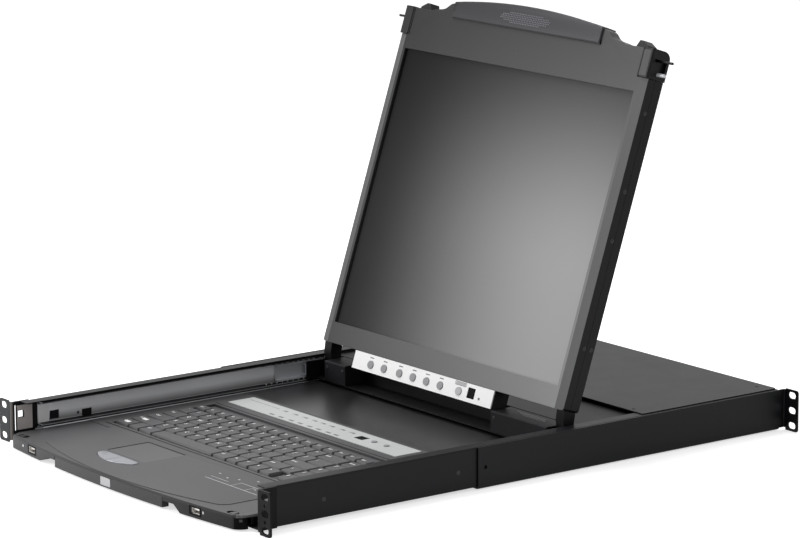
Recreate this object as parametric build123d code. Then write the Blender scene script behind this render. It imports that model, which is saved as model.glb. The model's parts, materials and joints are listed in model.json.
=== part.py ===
from build123d import *
import math
import os

# A console drawer for a 19 inch rack, one unit high: a display that folds up from a sliding carriage,
# above a keyboard drawer on slides of its own. Both drawers are in and the display is open.
# Millimetres: X to the right, Y from the front ears to the back, Z up. The origin is the middle of
# the front ears' hole pattern, on the plane that the ears' back faces bear on.

# Rack standard
rack_hole_span = 465.1
rack_hole_pitch = 15.875
ear_margin = 8.75
hole_to_housing = 13.55
panel_height = 43.6
slot_length = 11.0
slot_width = 6.9
ear_sheet = 2.0
ear_corner = 3.0

# Housing
housing_bottom = -19.4
housing_height = 40.0
housing_front = 1.0
housing_back = 650.0
sheet = 1.2
flange_width = 14.0
flange_start = 9.0
bay_front = 470.0
bulkhead_setback = 6.0
cover_sheet = 1.0
cover_inset = 3.0
ear_flange_depth = 20.0
relief_slot = (2.4, 4.9, -10.0, 17.0)
cover_screw_radius = 2.4

# Rear brackets
bracket_front = 258.0
bracket_back = 658.0
bracket_sheet = 1.5
bracket_gap = 0.3
bracket_lip = 8.0

# Slides
slide_width = 12.6
slide_back = 640.0
display_slide_height = 24.0
display_slide_front = 29.0
display_middle_front = 323.0
display_inner_front = 357.0
drawer_slide_height = 10.0
drawer_slide_front = 29.0
drawer_slide_length = 431.0
drawer_middle_lead = 5.0
drawer_middle_length = 424.0
drawer_inner_lead = 13.0
drawer_inner_length = 422.0
slide_stop = (43.0, 11.5, 9.0)
slide_window = (82.0, 12.0, 10.4)
slide_bolt = 77.5
drawer_slide_gap = 0.6
slide_stack_gap = 1.4

# Keyboard drawer
pan_gap = 1.2
pan_sheet = 1.0
pan_front = 2.0
pan_back = 440.0
drawer_height = 10.0
top_thickness = 2.4
top_side_gap = 0.7
top_back = 276.0
front_bow = 13.0
front_side = -12.5
corner_radius = 12.0
housing_drop = 13.4
band_drop = 6.2
top_rim = 2.2
port_housing_left = (-135.0, -123.0)
port_housing_right = (109.0, 119.0)
palm_step = 0.5
palm_half_width = 161.0
palm_corner = 1.0
palm_middle = -23.2
palm_radius = 14.0
catch_pocket = (186.5, -6.2, 15.0, 8.4)
catch_pocket_depth = 3.6
catch_bolt = (-8.3, 2.8, 2.8)
drawer_catch_travel = 4.5
catch_thumb = (188.0, 3.4)
rear_plate_sheet = 1.0
bar_left = -103.0
bar_right = 91.0
bar_depth = 8.0
bar_arm_width = 11.0
usb_size = (13.1, 5.7)
usb_depth = 14.0
usb_centres = (-152.0, 142.0)
usb_drop = 6.4
usb_inset = 0.8

# Keyboard
keys_half_width = 180.2
keys_front = 95.0
keys_back = 222.0
key_pitch = 19.0
key_gap = 1.6
key_row_front = 97.0
key_slope = 1.9
key_height = 2.2
key_rise = 1.8
key_stem = 4.0
base_thickness = 2.0
base_rim = 4.0

# Touchpad and its crescent of two buttons
pad_box = (-86.0, -20.0, 30.0, 78.0)
pad_depth = 0.6
crescent_centre = (-51.0, 19.5)
crescent_half_width = 31.5
crescent_rise = 5.0
crescent_sag = 14.5
crescent_split = 0.5
button_proud = 0.9
fit_gap = 0.3

# Port selection strip
strip_box = (-179.0, 113.0, 238.0, 271.0)
strip_sheet = 1.2
strip_depth = 0.8
port_window_box = (26.0, 39.5, 251.0, 261.0)
port_button_places = ((54.0, 256.0), (74.5, 256.0))
port_button_radius = 3.0

# Display carriage
carriage_gap = 1.95
carriage_sheet = 1.2
carriage_front = 369.0
carriage_back = 472.0
carriage_arm_top = 14.5
carriage_top = 17.5
box_front = 396.0
hinge_cover_left = (-188.0, -151.0)
hinge_cover_right = (98.5, 188.0)

# Hinge axis and the display, measured from that axis
hinge_y = 386.0
hinge_z = 14.0
display_tilt = 18.5
display_width = 406.0
face_offset = 16.8
lower_edge = 18.3
display_depth = 22.4
bezel_depth = 12.0
bezel_wall = 2.5
bezel_front_wall = 3.0
bezel_side_strip = 11.0
bezel_side_drop = 2.5
screen_width = 376.3
screen_height = 301.1
bezel_lower = 22.5
bezel_upper = 44.6
panel_margin = 4.0
panel_depth = 6.3
cover_wall = 1.6
cover_round = 3.0
cover_top_round = 10.0
arm_inner = 190.0
arm_outer = 202.5
arm_barrel = 5.5
pin_radius = 2.5
pin_running_gap = 0.05
pin_inner = 176.0
leaf_length = 42.0

# Handle, corner caps and release catches
handle_half_width = 121.0
handle_side_rise = 16.7
handle_arch = 7.7
handle_overlap = 3.7
handle_proud = 2.6
handle_depth = 18.6
handle_pocket = 10.0
cap_width = 14.0
cap_height = 29.2
cap_proud = 0.8
cap_gap = 0.2
cap_round = 9.0
cap_recess = (365.0, 377.6, 4.0, 20.0)
shoulder_foot = 154.0
shoulder_rise = 12.0
shoulder_land = 3.0
catch_inner = 168.0
catch_outer = 187.0
catch_rise = 7.0
catch_travel = 7.0
latch_radius = 1.3
latch_drop = 10.2
latch_depth = 10.0
latch_proud = 5.0
latch_hole = 7.0

# Control strip under the screen
osd_box = (-140.0, 96.5)
osd_height = 19.0
osd_depth = 20.5
osd_fascia_sheet = 1.4
osd_button_places = (-109.5, -86.2, -59.3, -36.0, -13.0, 10.3)
power_button_place = 41.4
osd_button_size = (4.75, 4.0)
osd_row = 7.5
osd_window = (61.6, 8.8, 12.0, 11.0)
osd_dot = (75.6, 5.6, 2.6)
button_length = 5.0
osd_button_proud = 0.9
button_collar = 0.9

# Rear bay
board_standoff = 6.0
board_sheet = 1.6
supply_size = (90.0, 118.0, 30.0)
vent_width = 3.0
port_count = 8
port_first = -75.0
port_pitch = 36.0
port_size = (17.0, 9.0)
port_row = 2.0
inlet_centre = (-165.0, 0.0)
inlet_size = (27.5, 20.0)
rocker_centre = (-130.0, 0.0)
rocker_size = (12.0, 19.0)
rocker_tilt = 8.0
rocker_pin = 1.0
rocker_pin_reach = 0.7

# Places that follow from the sizes
panel_width = rack_hole_span + 2 * ear_margin
housing_width = rack_hole_span - 2 * hole_to_housing
half_width = housing_width / 2
inner_half = half_width - sheet
drawer_half = inner_half - slide_width
housing_top = housing_bottom + housing_height
housing_floor = housing_bottom + sheet
wall_mid = half_width - sheet / 2
flange_edge = half_width - flange_width
ear_slot_x = rack_hole_span / 2
ear_reach = panel_width / 2
pan_bottom = housing_floor + pan_gap
pan_floor = pan_bottom + pan_sheet
drawer_top = pan_bottom + drawer_height
top_under = drawer_top - top_thickness
top_half = drawer_half - top_side_gap
front_middle = front_side - front_bow
carriage_bottom = drawer_top + carriage_gap
carriage_floor = carriage_bottom + carriage_sheet
drawer_slide_mid = housing_floor + drawer_slide_gap + drawer_slide_height / 2
display_slide_mid = (drawer_slide_mid + drawer_slide_height / 2 + slide_stack_gap
                     + display_slide_height / 2)
display_half = display_width / 2
face = -face_offset
seam = face + bezel_depth
back_face = face + display_depth
screen_bottom = lower_edge + bezel_lower
screen_top = screen_bottom + screen_height
upper_edge = screen_top + bezel_upper
latch_t = upper_edge - latch_drop
latch_n = face + latch_depth
latch_reach = half_width + latch_proud
latch_closed = (hinge_y - latch_t, hinge_z + latch_n)
key_base = top_under
place_display = Pos(0, hinge_y, hinge_z) * Rot(-display_tilt, 0, 0)


def block(x0, x1, y0, y1, z0, z1):
    """A straight block between two corners."""
    return Pos((x0 + x1) / 2, (y0 + y1) / 2, (z0 + z1) / 2) * Box(x1 - x0, y1 - y0, z1 - z0)


def along_x(sketch, x0, x1):
    """Extrudes a section drawn as (y, z)."""
    return extrude(Plane.YZ.offset(x0) * sketch, x1 - x0)


def along_y(sketch, y0, y1):
    """Extrudes a section drawn as (x, z)."""
    return extrude(Plane.XZ.offset(-y1) * sketch, y1 - y0)


def along_z(sketch, z0, z1):
    """Extrudes an outline drawn as (x, y)."""
    return extrude(Plane.XY.offset(z0) * sketch, z1 - z0)


def bent_sheet(points, thickness):
    """The section of a folded sheet, from the middle line of its wall."""
    return trace(FilletPolyline(*points, radius=thickness), thickness)


def polygon(*points):
    return make_face(Polyline(*points, close=True))


def mirrored(part):
    return mirror(part, about=Plane.YZ)


def pair(part):
    """A part on the right with its mirror image on the left, as two solids."""
    return part + mirrored(part)


def housing_openings():
    """Holes that the side wall and the ear share on the right: the latch hole and the relief slot."""
    y, z = latch_closed
    reach = (inner_half - 1, half_width + ear_sheet + 1)
    hole = block(*reach, y - latch_hole / 2, y + latch_hole / 2, z - latch_hole / 2, z + latch_hole / 2)
    return hole + block(*reach, *relief_slot)


def housing_shell():
    middle_top = housing_top - sheet / 2
    middle_floor = housing_bottom + sheet / 2
    right = [(flange_edge, middle_top), (wall_mid, middle_top), (wall_mid, middle_floor)]
    left = [(-x, z) for x, z in reversed(right)]
    shell = along_y(bent_sheet(right + left, sheet), housing_front, housing_back)
    bulkhead_y = bay_front + bulkhead_setback
    bulkhead_half = drawer_half - 2
    shell += block(-bulkhead_half, bulkhead_half, bulkhead_y, bulkhead_y + sheet,
                   housing_floor, housing_top)
    notch = block(0, inner_half, 0, flange_start, housing_top - 2 * sheet, housing_top + 1)
    return shell - pair(housing_openings() + notch)


def rack_slots(y0, y1):
    """The three slotted rack holes of one ear, on the right."""
    slot = SlotOverall(slot_length, slot_width)
    row = Sketch() + [Pos(ear_slot_x, step * rack_hole_pitch) * slot for step in (-1, 0, 1)]
    return along_y(row, y0, y1)


def rack_ear(face_y, thickness, web_mid, web_end):
    """An angle whose leg stands out as the ear and whose other leg runs along the housing wall."""
    leg = bent_sheet([(ear_reach, face_y), (web_mid, face_y), (web_mid, web_end)], thickness)
    ear = along_z(leg, -panel_height / 2, panel_height / 2)
    corners = ear.edges().filter_by(Axis.Y).group_by(Axis.X)[-1]
    ear = fillet(corners, ear_corner)
    relief_x = web_mid + 2 * thickness
    y_low = min(face_y, web_end) - thickness
    y_high = max(face_y, web_end) + thickness
    for z0, z1 in ((housing_top, panel_height), (-panel_height, housing_bottom)):
        ear -= block(web_mid - 2 * thickness, relief_x, y_low, y_high, z0, z1)
    return ear - rack_slots(face_y - thickness, face_y + thickness)


def front_ear(with_small_holes):
    web = half_width + ear_sheet / 2
    ear = rack_ear(-ear_sheet / 2, ear_sheet, web, ear_flange_depth) - housing_openings()
    if with_small_holes:
        for z in (-rack_hole_pitch / 2, rack_hole_pitch / 2):
            ear -= Pos(ear_slot_x, 0, z) * Rot(90, 0, 0) * Cylinder(1.9, 6 * ear_sheet)
    return ear


def rear_bracket():
    """The right rear bracket: a web outside the wall, a lip under the floor and the slotted ear."""
    web = half_width + bracket_gap + bracket_sheet / 2
    lip_z = housing_bottom - bracket_gap - bracket_sheet / 2
    section = bent_sheet([(web - bracket_lip, lip_z), (web, lip_z), (web, housing_top)], bracket_sheet)
    bracket = along_y(section, bracket_front, housing_back)
    face_y = bracket_back - bracket_sheet / 2
    bracket += rack_ear(face_y, bracket_sheet, web, housing_back - 10)
    hole_y = bracket_front + 9
    return bracket - Pos(web, hole_y, 0) * Rot(0, 90, 0) * Cylinder(2.0, 4 * bracket_sheet)


def cover_screw_places():
    return [(195.0, bay_front + bulkhead_setback), (199.0, housing_back - 12)]


def rear_cover():
    half = half_width - cover_inset
    plate = along_z(RectangleRounded(2 * half, housing_back - bay_front, 3), 0, cover_sheet)
    plate = Pos(0, (bay_front + housing_back) / 2, housing_top) * plate
    for x, y in cover_screw_places():
        plate -= pair(Pos(x, y, housing_top) * Cylinder(cover_screw_radius, 4 * cover_sheet))
    return plate


def body_screws():
    """Flush screws of the rear cover."""
    screw = Cylinder(cover_screw_radius, cover_sheet)
    group = [Pos(x, y, housing_top + cover_sheet / 2) * screw for x, y in cover_screw_places()]
    return Part() + group + [mirrored(item) for item in group]


def port_places():
    return [(port_first + port_pitch * step, port_row) for step in range(port_count)]


def rear_panel():
    low = housing_floor
    high = housing_top - sheet
    panel = block(-inner_half + 1, inner_half - 1, housing_back - sheet, housing_back, low, high)
    cut = Part()
    for x, z in port_places():
        cut += along_y(Pos(x, z) * d_shape(0), housing_back - 2, housing_back + 1)
    for (x, z), (w, h) in ((inlet_centre, inlet_size), (rocker_centre, rocker_size)):
        cut += along_y(Pos(x, z) * Rectangle(w, h), housing_back - 2, housing_back + 1)
    return panel - cut


def control_board():
    """The switching board on its standoffs, with its larger components."""
    length = housing_width * 0.65
    depth = housing_back - bay_front - 32
    low = housing_floor + board_standoff
    board = Box(length, depth, board_sheet)
    for x in (-0.46, 0.0, 0.46):
        for y in (-0.45, 0.45):
            board += Pos(x * length, y * depth, -board_standoff / 2) * Box(6, 6, board_standoff)
    for x, y, chip in ((-0.3, 0.1, 28.0), (0.05, 0.1, 28.0), (0.36, -0.1, 22.0)):
        board += Pos(x * length, y * depth, board_sheet) * Box(chip, chip, 2 * board_sheet)
    middle = (inner_half - length / 2 - 22, (bay_front + housing_back) / 2 + 4, low)
    return Pos(*middle) * board


def power_supply():
    """The boxed supply, a folded case with rows of vent slots over its board."""
    width, depth, height = supply_size
    case = Box(width, depth, height) - Box(width - 2 * cover_sheet, depth - 2 * cover_sheet,
                                           height - 2 * cover_sheet)
    vent = Pos(0, 0, height / 2) * Box(width * 0.7, vent_width, 4 * cover_sheet)
    for step in range(-5, 6):
        case -= Pos(0, 2.7 * vent_width * step, 0) * vent
    return Pos(-inner_half + 22 + width / 2, (bay_front + housing_back) / 2, housing_floor + height / 2) * case


def d_shape(inset):
    """The outline of a D-shaped port, wider at the top, with its corners cut."""
    w, h = port_size
    half = w / 2 - inset
    rise = h / 2 - inset
    lean = 1.2
    cut = 1.4
    side = [(half - cut, rise), (half, rise - cut), (half - lean, cut - rise), (half - lean - cut, -rise)]
    return polygon(*side, *[(-x, z) for x, z in reversed(side)])


def port_connectors():
    """A row of shielded ports, each a body behind the panel with a raised D-shaped shell."""
    ports = []
    for x, z in port_places():
        body = block(x - 14, x + 14, housing_back - 13, housing_back - sheet, z - 6, z + 6)
        shell = along_y(Pos(x, z) * d_shape(0.2), housing_back - sheet, housing_back + 5)
        hollow = along_y(Pos(x, z) * d_shape(0.8), housing_back + 3.4, housing_back + 6)
        ports.append(body + shell - hollow)
    return Part() + ports


def power_inlet():
    """The mains inlet with its three blades, and the frame of the switch beside it."""
    x, z = inlet_centre
    w, h = inlet_size
    flange = along_y(Pos(x, z) * RectangleRounded(w + 4, h + 4, 3), housing_back, housing_back + 2)
    body = along_y(Pos(x, z) * Rectangle(w - 0.4, h - 0.4), housing_back - 20, housing_back)
    right = [(12.0, -8.25), (12.0, 4.25), (8.0, 8.25)]
    mouth = polygon(*right, *[(-dx, dz) for dx, dz in reversed(right)])
    socket = along_y(Pos(x, z) * mouth, housing_back - 14, housing_back + 3)
    inlet = flange + body - socket
    for dx, dz in ((-7, -2), (0, 3), (7, -2)):
        inlet += block(x + dx - 1, x + dx + 1, housing_back - 14, housing_back - 2, z + dz - 2, z + dz + 2)
    x, z = rocker_centre
    w, h = rocker_size
    frame = along_y(Pos(x, z) * Rectangle(w + 2.4, h + 2.4), housing_back, housing_back + 1.4)
    frame += along_y(Pos(x, z) * Rectangle(w - 0.4, h - 0.4), housing_back - 12, housing_back)
    opening = along_y(Pos(x, z) * Rectangle(w - 2.4, h - 2.4), housing_back - 11, housing_back + 2)
    return inlet + (frame - opening - rocker_trunnions(0.1))


def rocker_trunnions(grow=0.0):
    """The pins that the rocker turns on, across its frame, or with grow the bearing holes for them."""
    x, z = rocker_centre
    length = rocker_size[0] - 2.4 + 2 * (rocker_pin_reach + grow)
    return Pos(x, housing_back, z) * Rot(0, 90, 0) * Cylinder(rocker_pin + grow, length)


def power_rocker():
    """The rocker, pressed at its top: a shallow vee that turns on its middle."""
    x, z = rocker_centre
    w, h = rocker_size
    half = h / 2 - 1.2 - 2 * fit_gap
    drop = half * math.sin(math.radians(rocker_tilt))
    vee = polygon((0, 0.8), (3.0 - drop, half), (-4, half - 1.5), (-6, 0), (-4, 1.5 - half),
                  (3.0 + drop, -half))
    rocker = along_x(vee, x - w / 2 + 1.2 + fit_gap, x + w / 2 - 1.2 - fit_gap)
    return Pos(0, housing_back, z) * rocker + rocker_trunnions()


def channel(web, edge, middle, half, thickness, lip=0.0):
    """The section of one slide member: a web and two flanges, with turned-in lips if asked."""
    outer = half - thickness / 2
    side = [(edge, outer - lip)] if lip else []
    side += [(edge, outer), (web, outer)]
    points = side + [(x, -z) for x, z in reversed(side)]
    return bent_sheet([(x, middle + z) for x, z in points], thickness)


def slide_sections(middle, height, thickness, ball, lip):
    """Outer, middle and inner member of one slide on the right, nested with room for the balls."""
    outer_half = height / 2
    middle_half = outer_half - thickness - ball
    inner_half_height = middle_half - thickness - ball * 0.8
    middle_web = inner_half - thickness - 2.4 - thickness / 2
    outer = channel(inner_half - thickness / 2, drawer_half + 2.2, middle, outer_half, thickness, lip)
    centre = channel(middle_web, drawer_half + 3.2, middle, middle_half, thickness)
    inner = channel(drawer_half + thickness / 2, middle_web - thickness / 2 - 1.2, middle,
                    inner_half_height, thickness)
    return outer, centre, inner


def drawer_slides():
    sections = slide_sections(drawer_slide_mid, drawer_slide_height, 0.8, 0.7, 1.8)
    leads = (0, drawer_middle_lead, drawer_inner_lead)
    lengths = (drawer_slide_length, drawer_middle_length, drawer_inner_length)
    members = []
    for section, lead, length in zip(sections, leads, lengths):
        front = drawer_slide_front - lead
        members.append(pair(along_y(section, front, front + length)))
    return members


def display_slides():
    sections = slide_sections(display_slide_mid, display_slide_height, 1.1, 1.9, 0)
    fronts = (display_slide_front, display_middle_front, display_inner_front)
    outer, middle, inner = [along_y(section, front, slide_back)
                            for section, front in zip(sections, fronts)]
    for (y, length, height), drop in ((slide_stop, 4.7), (slide_window, 9.3)):
        z = display_slide_mid - drop
        outer -= block(inner_half - 2, inner_half + 1, y, y + length, z - height / 2, z + height / 2)
    bolt = Rot(0, 90, 0) * Cylinder(1.6, 6)
    return outer - Pos(inner_half, slide_bolt, display_slide_mid - 7) * bolt, middle, inner


def drawer_outline(inset=0.0):
    """The moulded top seen from above: straight sides, a bowed front and rounded front corners."""
    half = top_half - inset
    side = front_side + inset
    sides = Polyline((half, side), (half, top_back), (-half, top_back), (-half, side))
    bow = ThreePointArc((-half, side), (0, front_middle + inset), (half, side))
    outline = make_face([*sides.edges(), *bow.edges()])
    return fillet(outline.vertices().group_by(Axis.Y)[0], corner_radius)


def crescent(grow=0.0):
    """The lens that holds both touchpad buttons."""
    x, y = crescent_centre
    half = crescent_half_width + grow
    end = 4.0 + grow
    top = ThreePointArc((x - half, y + end), (x, y + crescent_rise + grow), (x + half, y + end))
    low = ThreePointArc((x + half, y - end), (x, y - crescent_sag - grow), (x - half, y - end))
    ends = [Line((x + half, y + end), (x + half, y - end)), Line((x - half, y - end), (x - half, y + end))]
    outline = make_face([*top.edges(), *low.edges(), *[edge.edge() for edge in ends]])
    return fillet(outline.vertices(), 3.0 + grow)


def box_sketch(box, grow=0.0):
    x0, x1, y0, y1 = box
    place = Pos((x0 + x1) / 2, (y0 + y1) / 2)
    return place * Rectangle(x1 - x0 + 2 * grow, y1 - y0 + 2 * grow)


def front_skirt():
    """The port housings and the short band between them, below the moulded top's front edge."""
    low = drawer_top - housing_drop
    band = drawer_top - band_drop
    left_low, left_band = port_housing_left
    right_band, right_low = port_housing_right
    left = polygon((-top_half, top_under), (-top_half, low), (left_low, low), (left_band, band),
                   (bar_left - 0.5, band), (bar_left - 0.5, top_under))
    right = polygon((top_half, top_under), (top_half, low), (right_low, low), (right_band, band),
                    (bar_right + 0.5, band), (bar_right + 0.5, top_under))
    body = along_z(drawer_outline(), low, top_under)
    return body & (along_y(left, front_middle - 5, -1.5) + along_y(right, front_middle - 5, -1.5))


def palm_rest():
    """The raised middle of the palm rest, whose front edge bows with the drawer's."""
    half = palm_half_width
    sides = Polyline((half, palm_corner), (half, keys_front), (-half, keys_front), (-half, palm_corner))
    bow = ThreePointArc((-half, palm_corner), (0, palm_middle), (half, palm_corner))
    outline = make_face([*sides.edges(), *bow.edges()])
    return fillet(outline.vertices(), palm_radius)


def drawer_moulding():
    top = along_z(drawer_outline(), top_under, drawer_top)
    rim = top.edges().group_by(Axis.Z)[-1].filter_by(lambda edge: edge.center().Y < top_back - 1)
    top = chamfer(rim, top_rim)
    top += front_skirt()
    palm = palm_rest()
    margin = along_z(drawer_outline(1.6), drawer_top - palm_step, drawer_top + 1)
    margin &= block(-top_half, top_half, front_middle, keys_front - palm_radius,
                    drawer_top - palm_step, drawer_top + 1)
    top -= margin - along_z(palm, drawer_top - 2, drawer_top + 2)
    keys = block(-keys_half_width, keys_half_width, keys_front, keys_back, top_under - 1, drawer_top + 1)
    cuts = keys + along_z(box_sketch(pad_box, fit_gap), drawer_top - pad_depth, drawer_top + 1)
    cuts += along_z(crescent(fit_gap), top_under - 1, drawer_top + 1)
    cuts += along_z(box_sketch(strip_box, fit_gap), drawer_top - strip_depth, drawer_top + 1)
    for x, y in port_button_places:
        cuts += Pos(x, y, drawer_top) * Cylinder(port_button_radius + fit_gap, 6 * top_thickness)
    cuts += pair(drawer_catch_pocket())
    for x in usb_centres:
        w, h = usb_size
        cuts += along_y(Pos(x, drawer_top - usb_drop) * Rectangle(w + 0.2, h + 0.2),
                        front_middle, front_middle + usb_depth + 8)
    return top - cuts


def usb_sockets():
    """Two sockets: a drawn metal shell round a contact tongue."""
    w, h = usb_size
    z = drawer_top - usb_drop
    sockets = []
    for x in usb_centres:
        front = front_side - front_bow * (1 - (x / top_half) ** 2) + usb_inset
        back = front_middle + usb_depth + 8
        shell = along_y(Pos(x, z) * Rectangle(w, h), front, back)
        shell -= along_y(Pos(x, z) * Rectangle(w - 0.8, h - 0.8), front - 1, back - 1)
        tongue = block(x - w / 2 + 1.2, x + w / 2 - 1.2, front + 1.5, back - 1, z + 0.2, z + 1.9)
        sockets.append(shell + tongue)
    return Part() + sockets


def drawer_catch_pocket():
    """The thumb pocket in the right front corner and the channel of its bolt below."""
    x, y, length, width = catch_pocket
    bolt_y, bolt_width, bolt_height = catch_bolt
    floor = drawer_top - catch_pocket_depth
    pocket = along_z(Pos(x, y) * SlotOverall(length, width), floor, drawer_top + 1)
    start = x - length / 2 - drawer_catch_travel
    return pocket + block(start, top_half + 1, bolt_y - bolt_width / 2 - 0.2, bolt_y + bolt_width / 2 + 0.2,
                          floor - bolt_height - 0.2, floor + 0.2)


def drawer_catch():
    """The right drawer catch: a ribbed thumb piece on a bolt whose end shows at the drawer's side."""
    bolt_y, bolt_width, bolt_height = catch_bolt
    floor = drawer_top - catch_pocket_depth
    x, half = catch_thumb
    bolt = block(x - half - 3, top_half + 1, bolt_y - bolt_width / 2, bolt_y + bolt_width / 2,
                 floor - bolt_height, floor)
    bolt &= along_z(drawer_outline(0.2), floor - 5, floor + 1)
    y = catch_pocket[1]
    thumb = block(x - half, x + half, y - half, y + half, floor, drawer_top - 0.4)
    return bolt + fillet(thumb.edges().filter_by(Axis.Z), 1.0)


def pull_bar():
    """The curved bar under the front edge, with two arms back onto the pan floor."""
    low = drawer_top - housing_drop
    solid = along_z(drawer_outline(), low, top_under)
    slab = block(bar_left, bar_right, front_middle - 1, 0, low, top_under)
    hollow = Pos(0, bar_depth, 0) * along_z(drawer_outline(), low - 1, top_under + 1)
    bar = (solid & slab) - hollow
    for x in (bar_left, bar_right - bar_arm_width):
        bar += block(x, x + bar_arm_width, front_middle + bar_depth - 1, pan_front + 16, pan_floor,
                     pan_floor + 3.2)
    return bar


def drawer_pan():
    wall = drawer_half - pan_sheet / 2
    floor = pan_bottom + pan_sheet / 2
    section = bent_sheet([(wall, top_under), (wall, floor), (-wall, floor), (-wall, top_under)], pan_sheet)
    return along_y(section, pan_front, pan_back)


def rear_plate():
    """The plain top over the drawer's back half, folded down at the back."""
    z = drawer_top - 0.2 - rear_plate_sheet / 2
    y = pan_back - rear_plate_sheet / 2
    half = drawer_half - pan_sheet - fit_gap
    fold = bent_sheet([(top_back + 0.4, z), (y, z), (y, pan_floor)], rear_plate_sheet)
    rails = pair(block(half - 6, half, top_back + 0.4, pan_back - 2, z - 3, z))
    return along_x(fold, -half, half) + rails


def drawer_board():
    """The keyboard and port controller under the drawer's rear plate."""
    length = drawer_half * 1.4
    depth = (pan_back - top_back) * 0.8
    stand = 2 * board_sheet
    board = Box(length, depth, board_sheet) + Pos(0, 0, board_sheet) * Box(depth / 4, depth / 4, board_sheet)
    for x in (-0.46, 0.46):
        for y in (-0.43, 0.43):
            board += Pos(x * length, y * depth, -stand / 2) * Box(6, 6, stand)
    return Pos(0, (pan_back + top_back) / 2, pan_floor + stand) * board


def key_rows():
    """Every key as (x, y, width, depth), from the space bar's row to the function keys."""
    u = key_pitch
    left = -keys_half_width + 1.2
    rows = [
        [1.25, 1, 1.25, -5.75, 1.25, 1, 1, 1, 1],
        [2.25] + [1] * 10 + [1.75, 1],
        [1.75] + [1] * 11 + [-2.25],
        [1.5] + [1] * 12 + [1.5],
        [1] * 13 + [2],
    ]
    keys = []
    special = {}
    for number, widths in enumerate(rows):
        x = left
        y = key_row_front + (number + 0.5) * u
        for width in widths:
            key = (x + abs(width) * u / 2, y, abs(width) * u - key_gap, u - key_gap)
            if width == -5.75:
                special["space"] = key
            elif width == -2.25:
                special["enter"] = key
            else:
                keys.append(key)
            x += abs(width) * u
    pad_left = left + 15 * u + 1.5
    pad_pitch = (keys_half_width - 1.2 - pad_left) / 4
    for row in range(5):
        for column in range(4):
            x = pad_left + (column + 0.5) * pad_pitch
            keys.append((x, key_row_front + (row + 0.5) * u, pad_pitch - key_gap, u - key_gap))
    count = 19
    step = (2 * keys_half_width - 2.4) / count
    y = key_row_front + 5 * u + 9.5
    keys += [(left + (n + 0.5) * step, y, step - key_gap, 12.0) for n in range(count)]
    return keys, special


def keycap(x, y, width, depth, foot=key_base):
    """A low cap with sloping sides."""
    top = key_base + key_rise + key_height
    lower = Plane.XY.offset(foot) * Pos(x, y) * Rectangle(width, depth)
    upper = Plane.XY.offset(top) * Pos(x, y) * Rectangle(width - 2 * key_slope, depth - 2 * key_slope)
    return loft([lower, upper])


def travelling_key(x, y, width, depth):
    """A cap held clear of the base on a square stem, which drops into a well."""
    foot = key_base + key_rise
    half = key_stem / 2
    return keycap(x, y, width, depth, foot) + block(x - half, x + half, y - half, y + half, key_base, foot)


def keyboard_base():
    """The frame plate under all keys, with wells for the two long keys' stems."""
    half = keys_half_width + base_rim
    plate = block(-half, half, keys_front - base_rim, keys_back + base_rim,
                  top_under - base_thickness, top_under)
    for x, y, width, depth in key_rows()[1].values():
        reach = key_stem / 2 + fit_gap
        plate -= block(x - reach, x + reach, y - reach, y + reach, top_under - base_thickness - 1,
                       top_under + 1)
    return plate


def touchpad():
    z = drawer_top - pad_depth
    return along_z(box_sketch(pad_box), z, z + 0.4)


def touchpad_button(side):
    """Half of the crescent, with a flange that holds it up under the moulded top."""
    x, y = crescent_centre
    outline = crescent()
    wide = crescent(1.2)
    reach = crescent_half_width + 10
    near = crescent_split / 2
    keep = Pos(x + side * (near + reach / 2), y) * Rectangle(reach, 60)
    body = along_z(outline & keep, top_under - 1, drawer_top + button_proud)
    body = chamfer(body.edges().group_by(Axis.Z)[-1], 0.5)
    return body + along_z(wide & keep, top_under - 1.05, top_under - 0.05)


def port_strip():
    z = drawer_top - strip_depth
    strip = along_z(box_sketch(strip_box), z, z + strip_sheet)
    strip -= along_z(box_sketch(port_window_box, 0.05), z - 1, z + 3)
    for x, y in port_button_places:
        strip -= Pos(x, y, z) * Cylinder(port_button_radius + fit_gap, 6)
    return strip


def port_window():
    z = drawer_top - strip_depth
    return along_z(box_sketch(port_window_box), z, z + strip_sheet + 0.1)


def port_button(x, y):
    top = drawer_top - strip_depth + strip_sheet + 1.0
    button = Pos(x, y, (top_under - 1 + top) / 2) * Cylinder(port_button_radius, top - top_under + 1)
    collar = 2 * port_button_radius + 2.0
    return button + Pos(x, y, top_under - 0.55) * Box(collar, collar, 1.0)


def carriage_frame():
    """The carriage tray: a floor, low side walls that reach forward on the slides, a rear wall."""
    wall = drawer_half - carriage_sheet / 2
    floor = carriage_bottom + carriage_sheet / 2
    top = carriage_top - carriage_sheet
    section = bent_sheet([(wall, top), (wall, floor), (-wall, floor), (-wall, top)], carriage_sheet)
    frame = along_y(section, display_inner_front, carriage_back)
    clear = wall - carriage_sheet
    frame -= block(-clear, clear, display_inner_front - 1, carriage_front, floor - 5, floor + 5)
    reach = drawer_half + 1
    frame -= block(-reach, reach, display_inner_front - 1, box_front, carriage_arm_top, top + 1)
    inner = drawer_half - carriage_sheet
    return frame + block(-inner, inner, carriage_back - carriage_sheet, carriage_back, carriage_floor, top)


def carriage_cover():
    """The top and front of the carriage's rear box, one folded sheet."""
    z = carriage_top - carriage_sheet / 2
    y = box_front + carriage_sheet / 2
    fold = bent_sheet([(carriage_back, z), (y, z), (y, carriage_floor)], carriage_sheet)
    front_half = drawer_half - 2 * carriage_sheet
    cover = along_x(fold, -front_half, front_half)
    side = block(front_half - 1, drawer_half, box_front + 2, carriage_back, carriage_top - carriage_sheet,
                 carriage_top)
    return cover + pair(side)


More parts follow.
